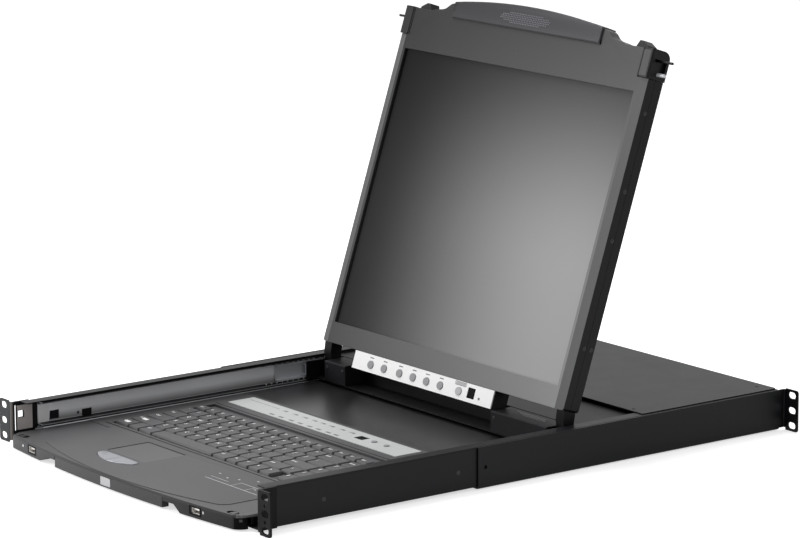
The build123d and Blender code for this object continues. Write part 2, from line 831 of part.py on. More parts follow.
def hinge_cover(x0, x1, outer_side):
    """A moulded housing over one friction hinge, bored for the hinge pin from its outer end."""
    section = Rectangle(box_front - carriage_front, carriage_top - carriage_floor)
    section = fillet(section.vertices().group_by(Axis.Y)[-1], 1.2)
    middle = ((carriage_front + box_front) / 2, (carriage_floor + carriage_top) / 2)
    cover = along_x(Pos(*middle) * section, x0, x1)
    pin_end = pin_inner - 1
    solid_x = pin_end - 3
    wall = 2.0
    if outer_side < 0:
        hollow = (-solid_x, x1 - wall)
    else:
        hollow = (x0 + wall, solid_x)
    cover -= block(*hollow, carriage_front + wall, box_front - wall, carriage_floor - 1, carriage_top - wall)
    length = abs(x0 if outer_side < 0 else x1) - pin_end + 2
    centre = outer_side * (pin_end + length / 2)
    bore = Rot(0, 90, 0) * Cylinder(pin_radius + pin_running_gap, length)
    return cover - Pos(centre, hinge_y, hinge_z) * bore


def hinge_arms():
    """A cheek at each lower corner of the display: barrel and pin on the axis, leaf up inside."""
    cheek = polygon((face + 5, lower_edge), (2.7, lower_edge), (arm_barrel, 0), (0, -arm_barrel),
                    (-4, -4), (face + 7, 7))
    arm = along_x(cheek + Circle(arm_barrel), arm_inner, arm_outer)
    arm += block(arm_inner + 1, arm_outer - 2.5, seam + 1.3, seam + 3.3, lower_edge - 1,
                 lower_edge + leaf_length)
    pin_length = arm_inner - pin_inner + 1
    pin = Rot(0, 90, 0) * Cylinder(pin_radius, pin_length)
    arm += Pos(pin_inner + pin_length / 2, 0, 0) * pin
    return place_display * pair(arm)


def display_outline(inset=0.0, radius=3.0):
    height = upper_edge - lower_edge
    return Pos(0, (upper_edge + lower_edge) / 2) * RectangleRounded(
        display_width - 2 * inset, height - 2 * inset, radius)


def bezel_blank():
    """The solid front shell before its corner rebates, with the sloping strip down each side."""
    shell = along_y(display_outline(), face, seam)
    slope = polygon((display_half - bezel_side_strip, face), (display_half + 1, face - 1),
                    (display_half + 1, face + bezel_side_drop * 12 / 11))
    shell -= pair(along_z(slope, lower_edge - 1, upper_edge + 1))
    half = display_half - bezel_wall
    return shell - block(-half, half, face + bezel_front_wall, seam + 1, lower_edge + bezel_wall,
                         upper_edge - bezel_wall)


def shoulder():
    """The rise of the front shell's top edge beside the handle, on the right."""
    near = handle_half_width + 0.3
    top = upper_edge + shoulder_rise
    low = upper_edge + shoulder_land
    across = (shoulder_foot - near) * 0.45 + near
    crest = Spline((near + 5, top - 1.0), (across, low + 2.2), (shoulder_foot, low - 1.4),
                   tangents=((1, -0.2), (1, -0.2)))
    end = shoulder_foot + 6
    edges = Polyline((shoulder_foot, low - 1.4), (end, upper_edge), (end, upper_edge - 6),
                     (near, upper_edge - 6), (near, top), (near + 5, top - 1.0))
    return along_y(make_face([*crest.edges(), *edges.edges()]), face, seam)


def cap_space(grow=0.0):
    """The corner that a guard takes out of both shells, on the right."""
    return block(display_half - cap_width - grow, display_half + 2, face - 2, back_face + 2,
                 upper_edge - cap_height - grow, upper_edge + 2)


def catch_slot():
    """The slot that the catch slides in, and the hole that its latch pin passes."""
    inner = catch_inner + 3
    slot = block(inner - catch_travel - 0.5, inner + 10.5, latch_n - 2, latch_n + 2,
                 upper_edge - 2 * bezel_wall, upper_edge + 1)
    hole = Rot(0, 90, 0) * Cylinder(latch_radius + fit_gap, 4 * bezel_wall)
    return slot + Pos(display_half, latch_n, latch_t) * hole


def display_bezel():
    half = screen_width / 2
    window = block(-half, half, face - 1, face + bezel_front_wall + 1, screen_bottom, screen_top)
    blank = bezel_blank() + pair(shoulder())
    return place_display * (blank - pair(cap_space(cap_gap) + catch_slot()) - window)


def corner_caps():
    """A moulded guard round each upper corner, with a recess in its side where the latch pin leaves."""
    guard = block(display_half - cap_width, display_half + cap_proud, face - cap_proud,
                  back_face + cap_proud, upper_edge - cap_height, upper_edge + cap_proud)
    top_back = guard.edges().filter_by(Axis.X).group_by(Axis.Z)[-1].sort_by(Axis.Y)[-1]
    guard = fillet(top_back, cap_round)
    guard = chamfer(guard.edges().filter_by(Axis.Z).group_by(Axis.Y)[0], 1.6)
    low, high, front, back = cap_recess
    guard -= block(display_half - 3, display_half + 3, face + front, face + back, low, high)
    bore = Rot(0, 90, 0) * Cylinder(latch_radius + fit_gap, 4 * cap_width)
    return place_display * pair(guard - Pos(display_half, latch_n, latch_t) * bore)


def back_profile(inset, front):
    """The back cover's section as (y, z): a large round along its upper back edge, a small one below."""
    low = lower_edge + inset
    high = upper_edge - inset
    back = back_face - inset
    outline = polygon((front, low), (back, low), (back, high), (front, high))
    outline = fillet(max(outline.vertices(), key=lambda v: v.X + v.Y), cover_top_round - inset)
    return fillet(max(outline.vertices(), key=lambda v: v.X - v.Y), cover_round - inset)


def display_back():
    half = display_half - cover_wall
    shell = along_x(back_profile(0, seam), -display_half, display_half)
    shell &= along_y(display_outline(), seam, back_face)
    shell -= along_x(back_profile(cover_wall, seam - 1), -half, half)
    slot = block(arm_inner + 0.7, arm_outer - 2.2, seam + 1.0, seam + 3.6, lower_edge - 1,
                 lower_edge + 2 * cover_wall)
    ribs = Part()
    for x in (-120, -40, 40, 120):
        ribs += block(x - 0.8, x + 0.8, seam + 3, back_face - cover_wall, lower_edge + 30, upper_edge - 30)
    return place_display * (shell - pair(slot + cap_space(cap_gap)) + ribs)


def lcd_panel():
    front = face + bezel_front_wall
    half = screen_width / 2 + panel_margin
    return place_display * block(-half, half, front, front + panel_depth, screen_bottom - panel_margin,
                                 screen_top + panel_margin)


def upper_handle():
    """The arched pull on the display's top edge, hollowed from behind for the fingers."""
    low = upper_edge - handle_overlap
    side = low + handle_side_rise
    half = handle_half_width
    arch = ThreePointArc((half, side), (0, side + handle_arch), (-half, side))
    edges = Polyline((-half, side), (-half, low), (half, low), (half, side))
    outline = make_face([*arch.edges(), *edges.edges()])
    front = face - handle_proud
    body = along_y(outline, front, front + handle_depth)
    body = fillet(body.faces().sort_by(Axis.Y)[0].edges(), 1.2)
    body -= block(-half - 1, half + 1, face, front + handle_depth + 1, low - 1, upper_edge)
    pocket = Pos(0, upper_edge + 8.0) * SlotOverall(2 * half - 50, handle_pocket)
    return place_display * (body - along_y(pocket, face + 3.0, front + handle_depth + 1))


def display_catch():
    """The right release catch: thumb piece, link through the bezel's top wall, and latch pin."""
    foot = upper_edge + 0.3
    top = foot + catch_rise
    fin = polygon((catch_inner, foot), (catch_outer, foot), (catch_outer - 1, foot + 2.5),
                  (catch_inner + 9, top), (catch_inner + 4, top))
    catch = along_y(fin, latch_n - 4, latch_n + 8)
    catch += block(catch_inner + 3, catch_inner + 13, latch_n - 1.6, latch_n + 1.6, latch_t - 1.6,
                   foot + 0.5)
    length = latch_reach - catch_inner - 3
    rod = Rot(0, 90, 0) * Cylinder(latch_radius, length)
    catch += Pos(latch_reach - length / 2, latch_n, latch_t) * rod
    return catch


def osd_cavity():
    x0, x1 = osd_box
    return block(x0 + 8, x1 - 5, face + osd_fascia_sheet, face + 9, osd_row - 6.2, osd_row + 6.2)


def osd_housing():
    """The control strip's case, closed behind and cut away under the hinge side."""
    low = lower_edge - osd_height
    front = face + osd_fascia_sheet
    back = face + osd_depth
    section = polygon((front, low), (back - 8, low), (back, low + 6.5), (back, lower_edge),
                      (front, lower_edge))
    return place_display * (along_x(section, *osd_box) - osd_cavity())


def osd_button_sketch(grow=0.0):
    width, height = osd_button_size
    return SlotOverall(2 * (width + grow), 2 * (height + grow))


def osd_fascia():
    x0, x1 = osd_box
    low = lower_edge - osd_height
    plate = block(x0, x1, face, face + osd_fascia_sheet, low, lower_edge - 0.2)
    holes = Sketch() + [Pos(x, osd_row) * osd_button_sketch(fit_gap)
                        for x in (*osd_button_places, power_button_place)]
    x, t, w, h = osd_window
    holes += Pos(x, t) * Rectangle(w, h)
    x, t, w = osd_dot
    holes += Pos(x, t) * Rectangle(w, w)
    return place_display * (plate - along_y(holes, face - 1, face + 3))


def osd_number_window():
    x, t, w, h = osd_window
    pane = block(x - w / 2 + 0.1, x + w / 2 - 0.1, face + 0.3, face + osd_fascia_sheet,
                 t - h / 2 + 0.1, t + h / 2 - 0.1)
    rear = face + osd_fascia_sheet
    return place_display * (pane + block(x - w / 2 - 1, x + w / 2 + 1, rear, rear + 1.0, osd_row - 6.0,
                                         osd_row + 6.0))


def osd_button(x):
    """One oval button, held behind the fascia by its collar."""
    rear = face + osd_fascia_sheet + 0.05
    front = face - osd_button_proud
    body = along_y(osd_button_sketch(), front, front + button_length)
    width, height = osd_button_size
    collar = along_y(Rectangle(2 * (width + button_collar), 2 * (height + button_collar)), rear, rear + 1.0)
    return place_display * Pos(x, 0, osd_row) * (body + collar)


def save(name, part):
    """Writes one node; a group keeps its separate solids."""
    solids = part.solids()
    shape = solids[0] if len(solids) == 1 else Compound(children=list(solids))
    export_step(shape, os.path.join("parts", name + ".step"))


def main():
    os.makedirs("parts", exist_ok=True)
    save("housing_shell", housing_shell())
    save("front_ear_right", front_ear(True))
    save("front_ear_left", mirrored(front_ear(False)))
    save("rear_bracket_right", rear_bracket())
    save("rear_bracket_left", mirrored(rear_bracket()))
    save("rear_cover", rear_cover())
    save("rear_panel", rear_panel())
    save("control_board", control_board())
    save("power_supply", power_supply())
    save("port_connectors", port_connectors())
    save("power_inlet", power_inlet())
    save("power_rocker", power_rocker())
    save("body_screws", body_screws())

    outer, middle, inner = display_slides()
    save("display_slide_outers", pair(outer))
    save("display_slide_middles", pair(middle))
    save("display_slide_inners", pair(inner))
    outer, middle, inner = drawer_slides()
    save("drawer_slide_outers", outer)
    save("drawer_slide_middles", middle)
    save("drawer_slide_inners", inner)

    save("drawer_pan", drawer_pan())
    save("drawer_moulding", drawer_moulding())
    save("drawer_rear_plate", rear_plate())
    save("drawer_board", drawer_board())
    save("pull_bar", pull_bar())
    save("usb_sockets", usb_sockets())
    save("drawer_catch_right", drawer_catch())
    save("drawer_catch_left", mirrored(drawer_catch()))
    save("keyboard_base", keyboard_base())
    keys, special = key_rows()
    save("keycaps", Part() + [keycap(*key) for key in keys])
    save("space_key", travelling_key(*special["space"]))
    save("enter_key", travelling_key(*special["enter"]))
    save("touchpad", touchpad())
    save("touchpad_button_left", touchpad_button(-1))
    save("touchpad_button_right", touchpad_button(1))
    save("port_strip", port_strip())
    save("port_window", port_window())
    for name, place in zip(("port_button_up", "port_button_down"), port_button_places):
        save(name, port_button(*place))

    save("carriage_frame", carriage_frame())
    save("carriage_cover", carriage_cover())
    save("hinge_cover_left", hinge_cover(*hinge_cover_left, -1))
    save("hinge_cover_right", hinge_cover(*hinge_cover_right, 1))

    save("hinge_arms", hinge_arms())
    save("display_bezel", display_bezel())
    save("display_back", display_back())
    save("lcd_panel", lcd_panel())
    save("upper_handle", upper_handle())
    save("corner_caps", corner_caps())
    save("display_catch_right", place_display * display_catch())
    save("display_catch_left", place_display * mirrored(display_catch()))
    save("osd_housing", osd_housing())
    save("osd_fascia", osd_fascia())
    save("osd_window", osd_number_window())
    for number, x in enumerate(osd_button_places, start=1):
        save(f"osd_button_{number}", osd_button(x))
    save("display_power_button", osd_button(power_button_place))


main()
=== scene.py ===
import bmesh
import bpy
import json
import numpy as np
from math import pi, radians
from mathutils import Matrix, Vector


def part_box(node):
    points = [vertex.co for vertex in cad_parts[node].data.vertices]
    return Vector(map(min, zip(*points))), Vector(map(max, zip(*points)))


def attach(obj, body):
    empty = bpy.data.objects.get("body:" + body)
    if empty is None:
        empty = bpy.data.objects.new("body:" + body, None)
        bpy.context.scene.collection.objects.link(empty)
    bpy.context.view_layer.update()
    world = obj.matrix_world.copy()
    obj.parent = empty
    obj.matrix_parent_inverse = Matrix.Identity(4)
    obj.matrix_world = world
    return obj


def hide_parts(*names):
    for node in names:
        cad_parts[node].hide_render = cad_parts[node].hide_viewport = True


# Frame: a console drawer for a 19 inch rack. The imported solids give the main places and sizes. Metres,
# X to the right, Y into the rack, Z up, from the middle of the front ears' hole pattern.
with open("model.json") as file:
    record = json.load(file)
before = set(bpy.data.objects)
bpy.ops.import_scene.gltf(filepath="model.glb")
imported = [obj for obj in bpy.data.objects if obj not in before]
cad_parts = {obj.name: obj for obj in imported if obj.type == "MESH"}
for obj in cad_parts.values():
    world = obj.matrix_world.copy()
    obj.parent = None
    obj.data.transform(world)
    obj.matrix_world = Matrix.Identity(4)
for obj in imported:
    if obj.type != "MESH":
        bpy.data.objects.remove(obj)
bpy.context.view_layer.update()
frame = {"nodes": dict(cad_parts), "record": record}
scene = bpy.context.scene
scene.view_settings.view_transform = "Standard"


# Camera: a long lens to the right of the open console and a little above it, fitted to the ears'
# slots, the screen's corners and the housing's edges.
def placed(name, data):
    """An object made from its data and linked to the scene."""
    made = bpy.data.objects.new(name, data)
    scene.collection.objects.link(made)
    return made


def turn(degrees, axis):
    """A turn about one axis."""
    return Matrix.Rotation(radians(degrees), 4, axis)


lens_data = bpy.data.cameras.new("long_lens")
lens_data.lens = 175.77
lens_data.sensor_width = 36.0
lens_data.clip_end = 60.0
camera_place, azimuth, elevation, roll = (3.111, -1.996, 0.951), 53.22, 11.62, -0.28
camera = placed("camera", lens_data)
camera.matrix_world = (Matrix.Translation(camera_place) @ turn(azimuth, "Z")
                       @ turn(90 - elevation, "X") @ turn(roll, "Z"))
scene.camera = camera


# Studio: a white table and surround, one broad soft light overhead and a little to the left, and a
# weak one in front. The surround is white to the camera and to gloss, and dim as a light.
def linear(hex_colour):
    """The sRGB curve undone on each of the three channels of a hex colour."""
    channels = [int(hex_colour[i:i + 2], 16) / 255 for i in (1, 3, 5)]
    return (*[c / 12.92 if c <= 0.04045 else ((c + 0.055) / 1.055) ** 2.4 for c in channels], 1.0)


def add(tree, kind, inputs=None, **settings):
    """One shader node with its settings; an input is a value or a (node, output) pair."""
    made = tree.nodes.new(kind)
    for key, value in settings.items():
        setattr(made, key, value)
    for key, value in (inputs or {}).items():
        if isinstance(value, tuple) and isinstance(value[0], bpy.types.Node):
            tree.links.new(value[0].outputs[value[1]], made.inputs[key])
        else:
            made.inputs[key].default_value = value
    return made


def cleared(group, name):
    """A new world or material whose node tree is empty."""
    made = group.new(name)
    made.use_nodes = True
    made.node_tree.nodes.clear()
    return made


def split_by_ray(tree, lighting, seen, output):
    """One shader for the rays that light the object, another for camera, glossy and clear ones."""
    path = add(tree, "ShaderNodeLightPath")
    gloss = add(tree, "ShaderNodeMath", {0: (path, "Is Camera Ray"), 1: (path, "Is Glossy Ray")},
                operation="MAXIMUM")
    directly = add(tree, "ShaderNodeMath", {0: (gloss, 0), 1: (path, "Is Transmission Ray")},
                   operation="MAXIMUM")
    either = add(tree, "ShaderNodeMixShader", {0: (directly, 0), 1: (lighting, 0), 2: (seen, 0)})
    add(tree, output, {"Surface": (either, 0)})


white = linear("#ffffff")
scene.world = cleared(bpy.data.worlds, "white_surround")
surround = scene.world.node_tree
dim_side, white_side = [add(surround, "ShaderNodeBackground", {"Color": white, "Strength": strength})
                        for strength in (0.42, 1.0)]
split_by_ray(surround, dim_side, white_side, "ShaderNodeOutputWorld")

table_top, table_reach = -0.0222, 6
table_corners = [(x * table_reach, y * table_reach, table_top)
                 for x, y in ((-1, -1), (1, -1), (1, 1), (-1, 1))]
table_mesh = bpy.data.meshes.new("table")
table_mesh.from_pydata(table_corners, [], [(0, 1, 2, 3)])
table = placed("table", table_mesh)
paper = cleared(bpy.data.materials, "white_paper")
sheet = add(paper.node_tree, "ShaderNodeBsdfDiffuse", {"Color": linear("#f4f4f4")})
glow = add(paper.node_tree, "ShaderNodeEmission", {"Color": white, "Strength": 0.62})
lit_sheet = add(paper.node_tree, "ShaderNodeAddShader", {0: (sheet, 0), 1: (glow, 0)})
split_by_ray(paper.node_tree, sheet, lit_sheet, "ShaderNodeOutputMaterial")
table_mesh.materials.append(paper)

for name, place, aim, size, watts in (("overhead", (-0.9, 0.5, 2.2), (0.0, 0.3, 0.0), 1.8, 36),
                                      ("front_left", (-1.3, -1.3, 0.8), (0.0, 0.35, 0.15), 1.0, 22)):
    lamp_data = bpy.data.lights.new(name, "AREA")
    lamp_data.shape = "DISK"
    lamp_data.size = size
    lamp_data.energy = watts
    away = Vector(place) - Vector(aim)
    lamp = placed(name, lamp_data)
    lamp.matrix_world = Matrix.Translation(place) @ away.to_track_quat("Z", "Y").to_matrix().to_4x4()


# Housing, ears and rear brackets: folded steel sheet, black polyester powder coat with a fine orange
# peel and a satin sheen at a low angle. The ears' coat is a lighter copy with painted light, and painted
# shade darkens it to the right, as the left ear catches the light and the right one doesn't. Their inner
# sides are bare.
def finish(name, colour, other, grain_mm, rough, bump_mm=0.02, metallic=0.0, specular=0.5, spread=0.35,
           stretch=(1, 1, 1)):
    """A surface whose colour drifts between two values and whose relief is a noise of a given size.
    The drift's patches are 60 grains wide, and spread is the grain's own share in the colour."""
    made = cleared(bpy.data.materials, name)
    tree = made.node_tree
    patch_mm = 60 * grain_mm
    place = add(tree, "ShaderNodeTexCoord")
    drawn = add(tree, "ShaderNodeMapping", {"Vector": (place, "Object"), "Scale": stretch})
    drift = add(tree, "ShaderNodeTexNoise", {"Vector": (drawn, 0), "Scale": 1000 / patch_mm,
                                             "Detail": 3.0, "Roughness": 0.5})
    grain = add(tree, "ShaderNodeTexNoise", {"Vector": (drawn, 0), "Scale": 1000 / grain_mm,
                                             "Detail": 2.0, "Roughness": 0.6})
    both = add(tree, "ShaderNodeMix", {0: spread, 2: (drift, 0), 3: (grain, 0)}, data_type="FLOAT")
    tint = add(tree, "ShaderNodeMix", {0: (both, 0), 6: linear(colour), 7: linear(other)},
               data_type="RGBA")
    uneven = add(tree, "ShaderNodeMapRange", {"Value": (drift, 0), "From Min": 0.3, "From Max": 0.7,
                                              "To Min": rough - 0.012, "To Max": rough + 0.015})
    relief = add(tree, "ShaderNodeBump", {"Height": (grain, 0), "Distance": bump_mm / 1000,
                                          "Strength": 0.6})
    shell = add(tree, "ShaderNodeBsdfPrincipled",
                {"Base Color": (tint, 2), "Metallic": metallic, "Roughness": (uneven, 0),
                 "Specular IOR Level": specular, "Normal": (relief, 0)})
    add(tree, "ShaderNodeOutputMaterial", {"Surface": (shell, 0)})
    return made


body_of = {node: body for body, nodes in frame["record"]["behaviour"]["bodies"].items()
           for node in nodes}


def settle(made, material, body):
    """Gives a finished piece its material and its body."""
    made.data.materials.clear()
    made.data.materials.append(material)
    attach(made, body)
    return made


weld, flat, crease = 2e-6, radians(0.6), radians(35)


def eased(node, material, edge_mm):
    """A solid's mesh merged and its flat faces joined, with its sharp edges rounded by a bevel."""
    mesh = frame["nodes"][node].data.copy()
    shape = bmesh.new()
    shape.from_mesh(mesh)
    bmesh.ops.remove_doubles(shape, verts=shape.verts, dist=weld)
    bmesh.ops.dissolve_limit(shape, angle_limit=flat, verts=shape.verts, edges=shape.edges)
    for face in shape.faces:
        face.smooth = True
    shape.to_mesh(mesh)
    shape.free()
    mesh.set_sharp_from_angle(angle=crease)
    made = placed(f"{node}_eased", mesh)
    rounding = made.modifiers.new("rounded_edges", "BEVEL")
    rounding.width = edge_mm / 1000
    rounding.segments = 2
    rounding.limit_method = "ANGLE"
    rounding.angle_limit = crease
    rounding.harden_normals = True
    settle(made, material, body_of[node])
    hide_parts(node)
    return made


def eased_all(*rows):
    """Several solids eased, from rows of node, finish and edge in millimetres, kept by node."""
    return {node: eased(node, material, edge_mm) for node, material, edge_mm in rows}


def toned(made, material, chosen):
    """A further material for the faces that a test on their centre and normal picks."""
    made.data.materials.append(material)
    for face in made.data.polygons:
        if chosen(face.center, face.normal):
            face.material_index = len(made.data.materials) - 1


def shaded(made, x=(1.0, 0.0, 1.0), z=(1.0, 0.0, 1.0), curve="LINEAR"):
    """A finish dimmed as a soft light leaves it. Along X and along Z its colour rises from a share to
    all of it: (where the share is, where all of it is, the share), the places in metres."""
    tree = made.node_tree
    shell = next(node for node in tree.nodes if node.type == "BSDF_PRINCIPLED")
    tint = shell.inputs["Base Color"].links[0].from_node
    place = add(tree, "ShaderNodeTexCoord")
    axes = add(tree, "ShaderNodeSeparateXYZ", {0: (place, "Object")})
    along, down = [add(tree, "ShaderNodeMapRange",
                       {"Value": (axes, axis), "From Min": dark, "From Max": full,
                        "To Min": share, "To Max": 1.0}, interpolation_type=curve)
                   for axis, (dark, full, share) in (("X", x), ("Z", z))]
    light = add(tree, "ShaderNodeMath", {0: (along, 0), 1: (down, 0)}, operation="MULTIPLY")
    dimmed = add(tree, "ShaderNodeMix", {0: (light, 0), 6: linear("#000000"), 7: (tint, 2)},
                 data_type="RGBA")
    tree.links.new(dimmed.outputs[2], shell.inputs["Base Color"])
    return made


powder_coat_and_shade = finish("black_powder_coat_and_shade", "#0a0b0d", "#111215", 0.5, 0.42, specular=0.15)
# Painted light and shade: the ears' coat is lighter than the housing's and darkens to the right.
ear_coat_painted_light_and_shade = shaded(finish("ear_powder_coat_painted_light_and_shade", "#2e2f31", "#383a3c", 0.5, 0.45, specular=0.1),
                  x=(0.2, -0.2, 0.04))
bare_steel = finish("uncoated_inner_steel", "#6a6562", "#736e6b", 0.6, 0.45, metallic=0.2, specular=0.3)
housing = eased_all(("housing_shell", powder_coat_and_shade, 0.25), ("front_ear_right", ear_coat_painted_light_and_shade, 0.4),
                    ("front_ear_left", ear_coat_painted_light_and_shade, 0.4), ("rear_bracket_right", powder_coat_and_shade, 0.3),
                    ("rear_bracket_left", powder_coat_and_shade, 0.3), ("rear_cover", powder_coat_and_shade, 0.25),
                    ("rear_panel", powder_coat_and_shade, 0.15))
for ear in ("front_ear_right", "front_ear_left"):
    toned(housing[ear], bare_steel,
          lambda centre, normal: normal.x * centre.x < -0.1 and centre.y < 0.03)


# Rivets and screws: blackened steel. Domed rivets hold the slides to the side walls, the rear pair
# flatter because the brackets pass over it. Pan heads with a cross recess hold the rear cover, the
# display's side flanges and the hinge blocks. Heads are sunk a little, so that no gap shows.
def shell_of(rings):
    """A closed shell through stacked rings of points, the first and the last ring capped."""
    count, around = rings.shape[:2]
    index = np.arange(count * around).reshape(count, around)
    ahead = np.roll(index, -1, 1)
    quads = np.stack([index[:-1], ahead[:-1], ahead[1:], index[1:]], -1).reshape(-1, 4)
    return rings.reshape(-1, 3), quads, [index[0][::-1], index[-1]]


def turned(profile, around):
    """A profile of (radius, height) in millimetres turned about the Z axis."""
    radius, height = np.array(profile, float).T / 1000
    angle = np.linspace(0, 2 * pi, around, endpoint=False)
    rings = np.stack([radius[:, None] * np.cos(angle), radius[:, None] * np.sin(angle),
                      height[:, None] + 0 * angle], -1)
    return shell_of(rings)


def moved(shape, matrix):
    """The same shape carried by a matrix that doesn't mirror it."""
    points, quads, caps = shape
    carried = points @ np.array(matrix.to_3x3()).T + np.array(matrix.translation)
    return carried, quads, caps


def joined(name, shapes, material, body, sharp=35.0):
    """One object from many shapes, smooth but for edges sharper than the given angle."""
    starts = np.cumsum([0] + [len(points) for points, _, _ in shapes])
    faces = []
    for start, (_, quads, caps) in zip(starts, shapes):
        faces += (quads + start).tolist() + [(cap + start).tolist() for cap in caps]
    mesh = bpy.data.meshes.new(name)
    mesh.from_pydata(np.concatenate([points for points, _, _ in shapes]).tolist(), [], faces)
    mesh.polygons.foreach_set("use_smooth", [True] * len(faces))
    mesh.set_sharp_from_angle(angle=radians(sharp))
    return settle(placed(name, mesh), material, body)


def at(x, y, z):
    """A move by millimetres."""
    return Matrix.Translation((x / 1000, y / 1000, z / 1000))


sunk = 0.2


def dome(radius, height):
    """A low rivet head: a quarter ellipse from its rim almost to its middle, turned."""
    lift = np.linspace(0, pi / 2 * 0.96, 5)
    return turned([(radius, -sunk)] + list(zip(radius * np.cos(lift), height * np.sin(lift))), 16)


def cross_head(radius, height):
    """A pan head on a polar grid, lowered where a point lies inside one of the recess's two bars."""
    out = np.linspace(1, 0.05, 12)[:, None]
    angle = np.linspace(0, 2 * pi, 40, endpoint=False)
    x, y = radius * out * np.cos(angle), radius * out * np.sin(angle)
    half_bar, half_length, depth = 0.17 * radius, 0.62 * radius, 0.7 * height
    across = np.clip((half_bar - np.minimum(abs(x), abs(y))) / (0.1 * radius), 0, 1)
    along = np.clip((half_length - np.maximum(abs(x), abs(y))) / (0.15 * radius), 0, 1)
    z = height * (0.75 * np.sqrt(np.clip(1.02 - out ** 2, 0, 1)) + 0.2) - depth * across * along
    top = np.stack([x, y, z], -1)
    rim = top[:1] * (1, 1, 0) - (0, 0, sunk)
    return shell_of(np.concatenate([rim, top]) / 1000)


dark_steel_and_shade = finish("blackened_steel_and_shade", "#1e1f21", "#2a2b2d", 0.8, 0.38, metallic=0.6)
wall_x, cover_top = 219.0, 20.8
rivets = [moved(dome(2.3, height), at(side * wall_x, y, -1) @ turn(90 * side, "Y"))
          for side in (-1, 1) for y, height in ((75, 0.45), (235, 0.2))]
joined("wall_rivets", rivets, dark_steel_and_shade, "housing")
cover_heads = [moved(cross_head(3.0, 0.9), at(side * x, y, cover_top))
               for side in (-1, 1) for x, y in ((195, 476), (199, 638))]
heads = joined("cover_screw_heads", cover_heads, dark_steel_and_shade, "housing")
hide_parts("body_screws")


# Telescoping slides: cold rolled steel, zinc plated, faintly blue. The rollers draw the strip out
# along Y, so its fine lines run that way. The webs of the display's outers are painted near white as
# painted light, with a painted shadow right under the flange and painted shade dimming their foot.
# Thin plates and latch keepers sit on the side walls, and the outers' upward faces are painted dark as
# shade.
drawn_steel = {"bump_mm": 0.004, "stretch": (6, 0.25, 6), "spread": 0.25}
zinc = finish("blue_passivated_zinc", "#c2c4c9", "#d0d2d6", 0.7, 0.48, metallic=0.45, **drawn_steel)
# Painted light and shade: a near white copy of the zinc for the webs, dark under the flange, dimmer at
# the foot.
web_zinc_painted_light_and_shade = finish("drawn_zinc_web_painted_light_and_shade", "#f8f9fc", "#fcfdff", 0.7, 0.5, **drawn_steel)
for fall in ((0.0150, 0.0132, 0.02), (-0.0035, 0.0045, 0.3)):
    web_zinc_painted_light_and_shade = shaded(web_zinc_painted_light_and_shade, z=fall)
slides = eased_all(*[(f"{pair}_slide_{member}", zinc, 0.12) for pair in ("display", "drawer")
                     for member in ("outers", "middles", "inners")])
toned(slides["display_slide_outers"], web_zinc_painted_light_and_shade,
      lambda centre, normal: abs(normal.x) > 0.9 and centre.x * normal.x < 0)
# Painted shade: the display outers' upward faces take the black coat, for the shade under the flange.
toned(slides["display_slide_outers"], powder_coat_and_shade, lambda centre, normal: normal.z > 0.9)
# Painted shade: the drawer outers' upward faces take the dark steel, for the shade they lie in.
toned(slides["drawer_slide_outers"], dark_steel_and_shade, lambda centre, normal: normal.z > 0.9)

ball_radius, ball_pitch, ball_x, slide_mid, ball_lift = 0.9, 7.0, 209.4, 5.8, 9.95
ball = turned([(ball_radius * np.sin(a), -ball_radius * np.cos(a))
               for a in np.linspace(0.12, pi - 0.12, 7)], 10)
ball_rows = [(side, slide_mid + lift) for side in (-1, 1) for lift in (-ball_lift, ball_lift)]
balls = [moved(ball, at(side * ball_x, y, z)) for side, z in ball_rows
         for y in np.arange(308, 400, ball_pitch)]
bearing_steel = finish("polished_bearing_steel", "#e2e3e6", "#ececee", 0.7, 0.25, bump_mm=0.002,
                       metallic=0.5)
joined("slide_balls", balls, bearing_steel, "display_slide_middles")


def slab(x0, x1, y0, y1, z0, z1, edge=0.0):
    """A straight block in millimetres whose upright edges and rims are cut by the given edge."""
    levels = [(edge, z0), (0, z0 + edge), (0, z1 - edge), (edge, z1)] if edge else [(0, z0), (0, z1)]
    cut = edge or 0.01
    rings = []
    for inset, z in levels:
        a, b, c, d = x0 + inset, x1 - inset, y0 + inset, y1 - inset
        rings.append([(a, c + cut, z), (a + cut, c, z), (b - cut, c, z), (b, c + cut, z),
                      (b, d - cut, z), (b - cut, d, z), (a + cut, d, z), (a, d - cut, z)])
    return shell_of(np.array(rings) / 1000)


def on_side(side, inner, outer, *spans):
    """A slab between two distances from the middle plane, on the left (-1) or the right (1)."""
    return slab(*sorted((side * inner, side * outer)), *spans)


cages = [on_side(side, 210.0, 212.6, 303, 400, z - 0.2, z + 0.2) for side, z in ball_rows]
joined("ball_cages", cages, dark_steel_and_shade, "display_slide_middles")

end_plates = [on_side(side, 216.45, 216.8, 29.4, 42.0, -6.0, 10.8) for side in (-1, 1)]
bright_plate = finish("bright_pressed_plate", "#f0f0f0", "#f8f8f8", 0.7, 0.45, bump_mm=0.004,
                      metallic=0.05)
joined("slide_end_plates", end_plates, bright_plate, "housing")

# Each keeper is four slabs round an open hole, which the display's latch pin enters.
keeper_y0, keeper_y1, hole_y0, hole_y1, hole_z0, hole_z1 = 5.0, 23.0, 6.0, 13.4, 3.5, 10.9
keepers = [on_side(side, 217.55, 217.85, *span) for side in (-1, 1)
           for span in ((keeper_y0, keeper_y1, -9.0, hole_z0), (keeper_y0, keeper_y1, hole_z1, 16.4),
                        (keeper_y0, hole_y0, hole_z0, hole_z1), (hole_y1, keeper_y1, hole_z0, hole_z1))]
keeper_steel = finish("brown_grey_keeper_steel", "#b5afac", "#bfb9b6", 0.6, 0.45, metallic=0.1,
                      specular=0.3)
joined("latch_keepers", keepers, keeper_steel, "housing")
